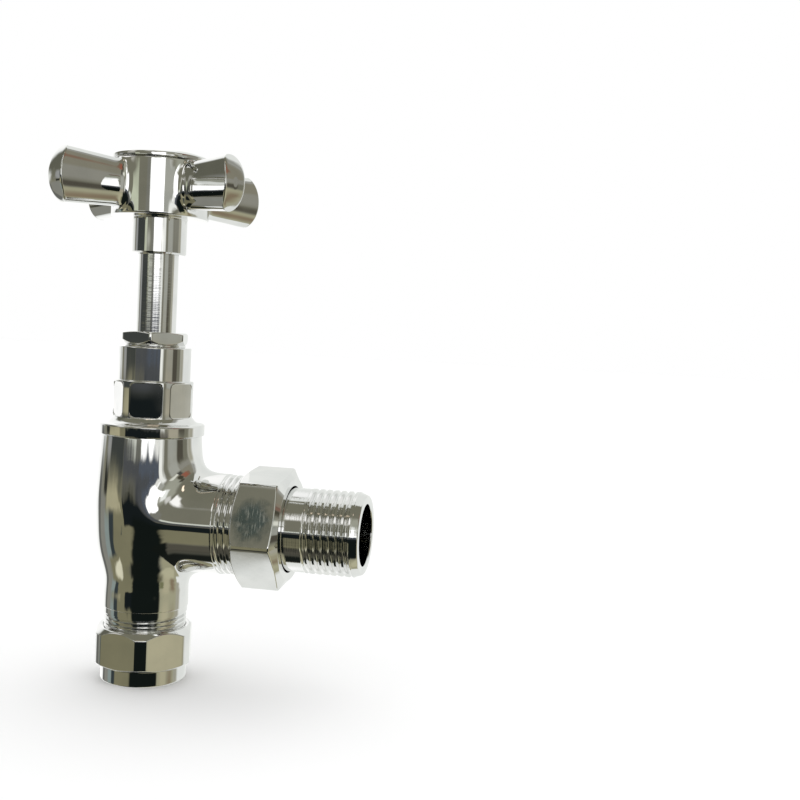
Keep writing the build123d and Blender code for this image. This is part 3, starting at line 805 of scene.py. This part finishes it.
def handle_cap():
    """Cap: a grooved plug, a rounded bead and a shallow dome."""
    dome_r, dome_z, bead_r, plug_r, groove_r = 11.75, 131.38, 12.3, 10.1, 9.1
    ball_r = (dome_r**2 + (CAP_TOP - dome_z) ** 2) / (2 * (CAP_TOP - dome_z))
    section = [
        (0, CAP_FOOT),
        (plug_r, CAP_FOOT, 0.2),
        (plug_r, 128.5),
        (groove_r, 128.5),
        (groove_r, 129.5),
        (plug_r, 129.5),
        (plug_r, HUB_TOP + 0.02),
        (11.9, HUB_TOP + 0.02),
        (bead_r, HUB_TOP + 0.15, 0.2),
        (bead_r, 131.15, 0.55),
        (dome_r, dome_z, 0.1),
    ]
    for share in np.linspace(1, 0, 16)[1:]:
        radius = dome_r * share
        section.append((radius, CAP_TOP - ball_r + np.sqrt(ball_r**2 - radius**2)))
    return turned("chrome_cap", outline(section, len(ROUND)))


# ---- camera ----------------------------------------------------------------------------------------

EYE = (109.3, -257.6, 89.2)
VIEW_RIGHT = (0.9827, 0.1783, 0.0501)
VIEW_AHEAD = (-0.1755, 0.9829, -0.0561)
LENS = 48.64


def camera():
    """The photograph's view: level with the handle's middle, from the front right."""
    data = bpy.data.cameras.new("view")
    data.sensor_width = 36.0
    data.lens = LENS
    data.clip_start = 0.01
    data.clip_end = 20
    made = bpy.data.objects.new("view", data)
    right = Vector(VIEW_RIGHT).normalized()
    ahead = Vector(VIEW_AHEAD).normalized()
    up = right.cross(ahead).normalized()
    right = ahead.cross(up).normalized()
    turn = Matrix((right, up, -ahead)).transposed().to_4x4()
    made.matrix_world = Matrix.Translation(Vector(EYE) * MM) @ turn
    bpy.context.scene.collection.objects.link(made)
    bpy.context.scene.camera = made


# ---- materials -------------------------------------------------------------------------------------


def linear(code):
    """A screen colour code such as 8c8669 as linear red, green and blue."""
    values = [int(code[i:i + 2], 16) / 255 for i in (0, 2, 4)]
    return [v / 12.92 if v <= 0.04045 else ((v + 0.055) / 1.055) ** 2.4 for v in values]


class Graph:
    """Short ways to add and join the nodes of one node tree."""

    def __init__(self, tree):
        self.tree = tree

    def node(self, kind, inputs=(), **settings):
        """A new node; inputs holds pairs of a socket and a value or another node's output."""
        made = self.tree.nodes.new(kind)
        for key, value in settings.items():
            setattr(made, key, value)
        for socket, value in dict(inputs).items():
            if isinstance(value, bpy.types.NodeSocket):
                self.tree.links.new(value, made.inputs[socket])
            else:
                made.inputs[socket].default_value = value
        return made

    def math(self, operation, a, b=0.0):
        """One Math node's result."""
        return self.node("ShaderNodeMath", {0: a, 1: b}, operation=operation).outputs[0]

    def ramp(self, value, low, high, to_low=0.0, to_high=1.0):
        """Value moved smoothly from one range to another."""
        inputs = {"Value": value, "From Min": low, "From Max": high, "To Min": to_low, "To Max": to_high}
        return self.node("ShaderNodeMapRange", inputs, interpolation_type="SMOOTHSTEP").outputs[0]

    def noise(self, place, scale, detail=3.0):
        """Fractal noise at a place."""
        inputs = {"Vector": place, "Scale": scale, "Detail": detail}
        return self.node("ShaderNodeTexNoise", inputs).outputs["Fac"]

    def mix(self, share, a, b):
        """A colour between two others."""
        made = self.tree.nodes.new("ShaderNodeMix")
        made.data_type = "RGBA"
        for socket, value in ((made.inputs[0], share), (made.inputs[6], a), (made.inputs[7], b)):
            if isinstance(value, bpy.types.NodeSocket):
                self.tree.links.new(value, socket)
            else:
                socket.default_value = value
        return made.outputs[2]


def new_material(name):
    """An empty node material: its graph, its main shader and the place on the object."""
    material = bpy.data.materials.new(name)
    material.use_nodes = True
    graph = Graph(material.node_tree)
    shader = material.node_tree.nodes["Principled BSDF"]
    place = graph.node("ShaderNodeTexCoord").outputs["Object"]
    return material, graph, shader, place


def stretched(graph, place, scale):
    """The place scaled by a different amount along each axis."""
    return graph.node("ShaderNodeVectorMath", {0: place, 1: scale}, operation="MULTIPLY").outputs[0]


def scuffed(graph, place, centre, tint, rough):
    """A cloudy rubbed patch round one point: dull dark plate under a haze of fine scratches."""
    reach = graph.node("ShaderNodeVectorMath", {0: place, 1: centre}, operation="DISTANCE")
    away = reach.outputs["Value"]
    ragged = graph.math("ADD", graph.math("MULTIPLY", graph.noise(place, 420.0, 5.0), 0.005), away)
    patch = graph.ramp(ragged, 0.0052, 0.0092, 1.0, 0.0)
    cloud = graph.math("MULTIPLY", graph.ramp(graph.noise(place, 520.0, 4.0), 0.12, 0.52), patch)
    tint = graph.mix(cloud, tint, (0.20, 0.26, 0.27, 1))
    scratches = graph.noise(stretched(graph, place, (3200.0, 500.0, 420.0)), 1.0, 5.0)
    haze = graph.math("MULTIPLY", graph.ramp(scratches, 0.52, 0.72, 0.0, 0.7), patch)
    tint = graph.mix(haze, tint, (0.9, 0.95, 0.97, 1))
    rough = graph.math("ADD", rough, graph.math("MULTIPLY", patch, 0.16))
    return tint, rough


def chrome(name, turned_along=None, marks_depth=0.03, scuff=None):
    """Bright chrome plate: slightly wavy polish, faint haze, turning marks along an axis, a scuff."""
    material, graph, shader, place = new_material(name)
    links = material.node_tree.links
    haze = graph.noise(place, 160.0, 4.0)
    wipe = graph.noise(stretched(graph, place, (900.0, 900.0, 120.0)), 1.0, 3.0)
    tint = graph.mix(graph.ramp(haze, 0.35, 0.7), (0.80, 0.80, 0.79, 1), (0.74, 0.745, 0.74, 1))
    rough = graph.ramp(haze, 0.3, 0.75, 0.012, 0.045)
    if scuff:
        tint, rough = scuffed(graph, place, scuff, tint, rough)
    links.new(tint, shader.inputs["Base Color"])
    links.new(rough, shader.inputs["Roughness"])
    shader.inputs["Metallic"].default_value = 1.0
    height = graph.math("MULTIPLY", graph.noise(place, 90.0, 1.0), 0.2)
    height = graph.math("ADD", height, graph.math("MULTIPLY", wipe, 0.004))
    if turned_along:
        scale = tuple(5200.0 if axis == turned_along else 25.0 for axis in "xyz")
        marks = graph.noise(stretched(graph, place, scale), 1.0, 3.0)
        height = graph.math("ADD", height, graph.math("MULTIPLY", marks, marks_depth))
    bump = graph.node("ShaderNodeBump", {"Strength": 0.6, "Distance": 0.0006, "Height": height})
    links.new(bump.outputs["Normal"], shader.inputs["Normal"])
    return material


def metal(name, dark, light, rough):
    """Bare metal with a worn, finely turned surface."""
    material, graph, shader, place = new_material(name)
    links = material.node_tree.links
    stain = graph.noise(place, 240.0, 5.0)
    tint = graph.mix(graph.ramp(stain, 0.3, 0.7), (*dark, 1), (*light, 1))
    links.new(tint, shader.inputs["Base Color"])
    shader.inputs["Metallic"].default_value = 1.0
    links.new(graph.ramp(stain, 0.25, 0.75, rough, rough + 0.18), shader.inputs["Roughness"])
    marks = graph.noise(stretched(graph, place, (60.0, 60.0, 4200.0)), 1.0, 3.0)
    bump = graph.node("ShaderNodeBump", {"Strength": 0.25, "Distance": 0.0001, "Height": marks})
    links.new(bump.outputs["Normal"], shader.inputs["Normal"])
    return material


def soft(name, dark, light, rough, grain):
    """Rubber, packing or fibre: a mottled matt solid with a fine grain."""
    material, graph, shader, place = new_material(name)
    links = material.node_tree.links
    mottle = graph.noise(place, grain, 6.0)
    tint = graph.mix(graph.ramp(mottle, 0.35, 0.65), (*dark, 1), (*light, 1))
    links.new(tint, shader.inputs["Base Color"])
    links.new(graph.ramp(mottle, 0.2, 0.8, rough, rough + 0.15), shader.inputs["Roughness"])
    bump = graph.node("ShaderNodeBump", {"Strength": 0.35, "Distance": 0.00015, "Height": mottle})
    links.new(bump.outputs["Normal"], shader.inputs["Normal"])
    return material


# ---- light -----------------------------------------------------------------------------------------

# What the chrome mirrors, far things first. Each patch has its left and right bearing, its low and
# high edge and the softness of its edges, all in degrees, and a screen colour.
MIRRORED = (
    ("backdrop_far_left", -252, -205, -64, 64, 9, "f4f4f3"),
    ("wall", -188, 22, -90, 90, 4, "6e6d60"),
    ("wall_left", -200, -166, 8, 42, 5, "5b5b50"),
    ("wall_right", -45, 22, 8, 50, 6, "7c796b"),
    ("wall_end", 20, 34, 12, 60, 6, "8f8f89"),
    ("ceiling", -197, 24, 52, 90, 8, "6c6b5d"),
    ("ceiling_lamp", -98, -65, 61.5, 65.5, 1.5, "ffe9d0"),
    ("window_far_left", -153, -138, 19, 46, 2.5, "f6f5f3"),
    ("wall_lit", -84, -30, 13, 48, 6, "96978a"),
    ("window_high", -112, -93, 34, 52, 3, "f4f3f0"),
    ("window_step", -92, -80, 26, 38, 3, "c8c7c2"),
    ("window_low", -80, -58, 16, 28, 3, "e4e6e2"),
    ("window_foot", -70, -60, 11, 20, 2, "ffffff"),
    ("sill_right", -39, -20, 12.5, 18, 1.5, "d0d1c6"),
    ("door_top", -41, -24, 37, 50, 3, "46453a"),
    ("door_edge", -30, -18, 22, 38, 3, "3f3d31"),
    ("door_foot", -20, -10, 12, 24, 2.5, "454540"),
    ("curtain", -19, 6, 26, 48, 3, "775f4f"),
    ("curtain_red", -17, -2, 24, 44, 3, "8a5746"),
    ("strip_left", -180, -163, -3, 9, 3, "8f908f"),
    ("doorway", -166, -130, -3.5, 8, 2.5, "3a3d3b"),
    ("doorway_sill", -152, -130, 8.5, 13, 2, "a8a79f"),
    ("window_left_top", -130, -120, 3.5, 8, 1.2, "b8bda8"),
    ("window_left", -122, -101, 0.8, 3.8, 1.0, "c6c9bf"),
    ("cupboard", -101, -91, 1, 12, 2, "72726a"),
    ("window_middle", -91, -60, 4, 13, 1.5, "ffffff"),
    ("window_middle_low", -90, -50, 1, 5, 1.0, "ffffff"),
    ("pillar", -60, -49, 5, 12, 1.5, "9c9d95"),
    ("pillar_foot", -60, -49, 1, 4, 1.2, "dcdcd6"),
    ("window_right", -50, -40, -4.0, 8, 2.5, "e8e9e4"),
    ("panel_right", -32, -9, -1.5, 12, 3, "9a9b93"),
    ("panel_low", -33, -8, -9, -2, 3, "a09b8a"),
    ("recess", -9, 22, 4, 13, 2.5, "84837a"),
    ("post_dark", -9, 8, -5, 2.0, 2, "4b483f"),
    ("shelf", -130, -50, -4, 0.8, 1.0, "484a4c"),
    ("shelf_blue", -92, -50, -1.2, 0.9, 0.8, "4c525b"),
    ("shelf_end", -52, -33, -9, -5, 1.5, "6a675f"),
    ("strip_dark", -202, -189, -31, -3, 3, "5f605c"),
    ("table_left", -190, -99, -42, -3.5, 3, "74715a"),
    ("strip_grey", -190, -172, -32, -5, 3, "7d7d76"),
    ("strip_black", -180, -166, -5.5, -2.5, 1.0, "2c2d28"),
    ("bench", -170, -139, -11, -3.5, 2, "a09b80"),
    ("bench_front", -176, -160, -27, -12, 3, "808b88"),
    ("screen", -161, -149, -28, -10.5, 2, "32393b"),
    ("cream_edge", -162, -138, -41, -33, 2.5, "ccc9b2"),
    ("boxes", -172, -104, -60, -42, 3, "4b4940"),
    ("dark_edge", -126, -50, -14, -3.4, 1.0, "151a1b"),
    ("under_table", -106, -29, -57, -8, 3, "111614"),
    ("under_left", -112, -88, -95, -40, 3, "121613"),
    ("under_all", -181, -92, -95, -60, 6, "171a17"),
    ("floor_right", -31, 24, -95, -8, 3, "98967e"),
    ("floor_bright", -22, -4, -60, -12, 6, "a6a187"),
    ("floor_shadow", -36, -26, -62, -40, 5, "5d5b48"),
    ("floor_edge", -31, -21, -40, -22, 3, "6f7053"),
    ("floor_near", -86, 44, -95, -60, 4, "96937a"),
    ("floor_pale", -40, 12, -80, -52, 6, "aaa78c"),
    ("chair_leg", 0, 14, -52, -17, 6, "7d705c"),
    ("far_chair", 20, 34, -40, 10, 5, "9a988a"),
)
MIRROR_GAIN = 1.3
WINDOW_GAIN = 1.35
SWAY = 9.0
DIP = 4.0


def room_light():
    """A world that looks plain and pale, and mirrors in the chrome as a room with windows."""
    world = bpy.data.worlds.new("room")
    bpy.context.scene.world = world
    world.use_nodes = True
    world.cycles.sampling_method = "MANUAL"
    world.cycles.sample_map_resolution = 128
    tree = world.node_tree
    tree.nodes.clear()
    graph = Graph(tree)
    way = graph.node("ShaderNodeTexCoord").outputs["Generated"]
    parts = graph.node("ShaderNodeSeparateXYZ", {0: way}).outputs
    bearing = graph.math("MULTIPLY", graph.math("ARCTAN2", parts[1], parts[0]), 180 / pi)
    wrap = graph.node("ShaderNodeMath", {0: bearing, 1: 110.0, 2: -250.0}, operation="WRAP")
    bearing = wrap.outputs[0]
    height = graph.math("MULTIPLY", graph.math("ARCSINE", parts[2]), 180 / pi)
    sway = graph.math("SUBTRACT", graph.noise(way, 5.0, 2.0), 0.5)
    dip = graph.math("SUBTRACT", graph.noise(stretched(graph, way, (1.0, -1.0, 1.0)), 6.0, 2.0), 0.5)
    bearing = graph.math("ADD", bearing, graph.math("MULTIPLY", sway, SWAY))
    height = graph.math("ADD", height, graph.math("MULTIPLY", dip, DIP))
    color = (*linear("dadcd9"), 1)
    for name, left, right, low, high, edge, code in MIRRORED:
        share = graph.ramp(bearing, left - edge, left + edge)
        share = graph.math("MULTIPLY", share, graph.ramp(bearing, right - edge, right + edge, 1.0, 0.0))
        share = graph.math("MULTIPLY", share, graph.ramp(height, low - edge, low + edge))
        share = graph.math("MULTIPLY", share, graph.ramp(height, high - edge, high + edge, 1.0, 0.0))
        bright = WINDOW_GAIN if code.startswith("ff") else 1.0
        color = graph.mix(share, color, (*[v * bright for v in linear(code)], 1))
        color.node.label = name
    mirrored = graph.node("ShaderNodeBackground", {"Color": color, "Strength": MIRROR_GAIN})
    plain = graph.node("ShaderNodeBackground", {"Color": (1.0, 1.0, 1.0, 1), "Strength": 1.0})
    glossy = graph.node("ShaderNodeLightPath").outputs["Is Glossy Ray"]
    both = graph.node("ShaderNodeMixShader", {0: glossy, 1: plain.outputs[0], 2: mirrored.outputs[0]})
    graph.node("ShaderNodeOutputWorld", {0: both.outputs[0]})


def soft_sun():
    """A broad soft light from above that whitens the floor and stays out of the reflections."""
    data = bpy.data.lights.new("sky_panel", "SUN")
    data.energy = 0.5
    data.angle = radians(60)
    made = bpy.data.objects.new("sky_panel", data)
    made.rotation_euler = (radians(-18), radians(12), 0)
    made.visible_glossy = False
    bpy.context.scene.collection.objects.link(made)


def floor():
    """A wide plain pale floor, one flat sheet of slightly uneven tone."""
    work = bmesh.new()
    bmesh.ops.create_grid(work, x_segments=24, y_segments=24, size=4.0)
    mesh = bpy.data.meshes.new("floor")
    work.to_mesh(mesh)
    work.free()
    made = bpy.data.objects.new("floor", mesh)
    bpy.context.scene.collection.objects.link(made)
    made.visible_glossy = False
    material, graph, shader, place = new_material("pale_floor")
    tone = graph.mix(graph.noise(place, 3.0, 2.0), (0.93, 0.93, 0.93, 1), (0.96, 0.96, 0.96, 1))
    material.node_tree.links.new(tone, shader.inputs["Base Color"])
    shader.inputs["Roughness"].default_value = 0.9
    mesh.materials.append(material)


# ---- the scene -------------------------------------------------------------------------------------

camera()
room_light()
soft_sun()
floor()
bpy.context.scene.view_settings.view_transform = "Standard"

SCUFF_CENTRE = (0.0312, -0.0130, 0.0443)
POLISHED = chrome("polished_chrome")
TURNED_UP = chrome("turned_chrome_upright", "z")
TURNED_OUT = chrome("turned_chrome_sideways", "x", 0.05)
SCUFFED = chrome("scuffed_chrome", scuff=SCUFF_CENTRE)

# Each visible piece, the body it rides on and its finish; the node it stands for is the key.
VISIBLE = {
    "compression_nut": (compression_nut, "compression_nut_set", POLISHED),
    "body": (body, "valve_body", POLISHED),
    "union_nut": (union_nut, "union_nut_set", SCUFFED),
    "tailpiece": (tailpiece, "tail_set", TURNED_OUT),
    "bonnet": (bonnet, "valve_body", POLISHED),
    "gland_nut": (gland_nut, "valve_body", POLISHED),
    "spindle": (spindle, "handle_set", TURNED_UP),
    "handle_cross": (handle_cross, "handle_set", POLISHED),
    "handle_cap": (handle_cap, "handle_set", POLISHED),
}
for node, (build, ridden, finish) in VISIBLE.items():
    piece = build()
    piece.data.materials.clear()
    piece.data.materials.append(finish)
    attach(piece, ridden)
    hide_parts(node)

BRASS = metal("brass", (0.55, 0.36, 0.13), (0.78, 0.57, 0.25), 0.22)
STEEL = metal("steel", (0.42, 0.42, 0.43), (0.62, 0.62, 0.62), 0.25)
RUBBER = soft("rubber", (0.012, 0.012, 0.012), (0.03, 0.03, 0.03), 0.55, 900.0)
PACKING = soft("packing", (0.62, 0.6, 0.54), (0.8, 0.78, 0.72), 0.6, 1400.0)
FIBRE = soft("fibre", (0.33, 0.08, 0.05), (0.48, 0.13, 0.08), 0.7, 1200.0)
INNER = {
    BRASS: ("olive", "seat_ring", "jumper", "washer_nut", "packing_washer", "gland_follower"),
    STEEL: ("handle_screw", "screw_washer"),
    RUBBER: ("seat_washer", "cap_ring"),
    PACKING: ("packing_rings",),
    FIBRE: ("union_seal", "bonnet_washer"),
}
for finish, names in INNER.items():
    for name in names:
        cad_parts[name].data.materials.clear()
        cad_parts[name].data.materials.append(finish)
for node in VISIBLE:
    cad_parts[node].data.materials.clear()
    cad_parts[node].data.materials.append(POLISHED)
